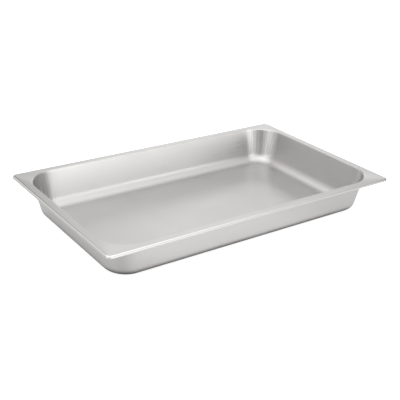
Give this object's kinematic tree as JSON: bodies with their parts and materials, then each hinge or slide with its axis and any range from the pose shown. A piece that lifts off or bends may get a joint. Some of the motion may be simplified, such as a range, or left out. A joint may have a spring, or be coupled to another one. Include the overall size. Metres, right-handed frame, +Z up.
{
  "type": "deli food pan",
  "caption": "Shallow rectangular food pan pressed from one sheet, with sloping walls, rounded corners and a flat flange with a turned-down edge that hangs it in a well.",
  "frame": {"origin": "middle of the underside of the floor, which is the bottom centre of the bounding box", "axes": "+X along the length, +Y across the width, +Z up out of the mouth"},
  "size_m": [0.527, 0.324, 0.06],
  "materials": {
    "pan": "satin stainless steel"
  },
  "bodies": {
    "root": {"pan": "pan"}
  },
  "joints": []
}
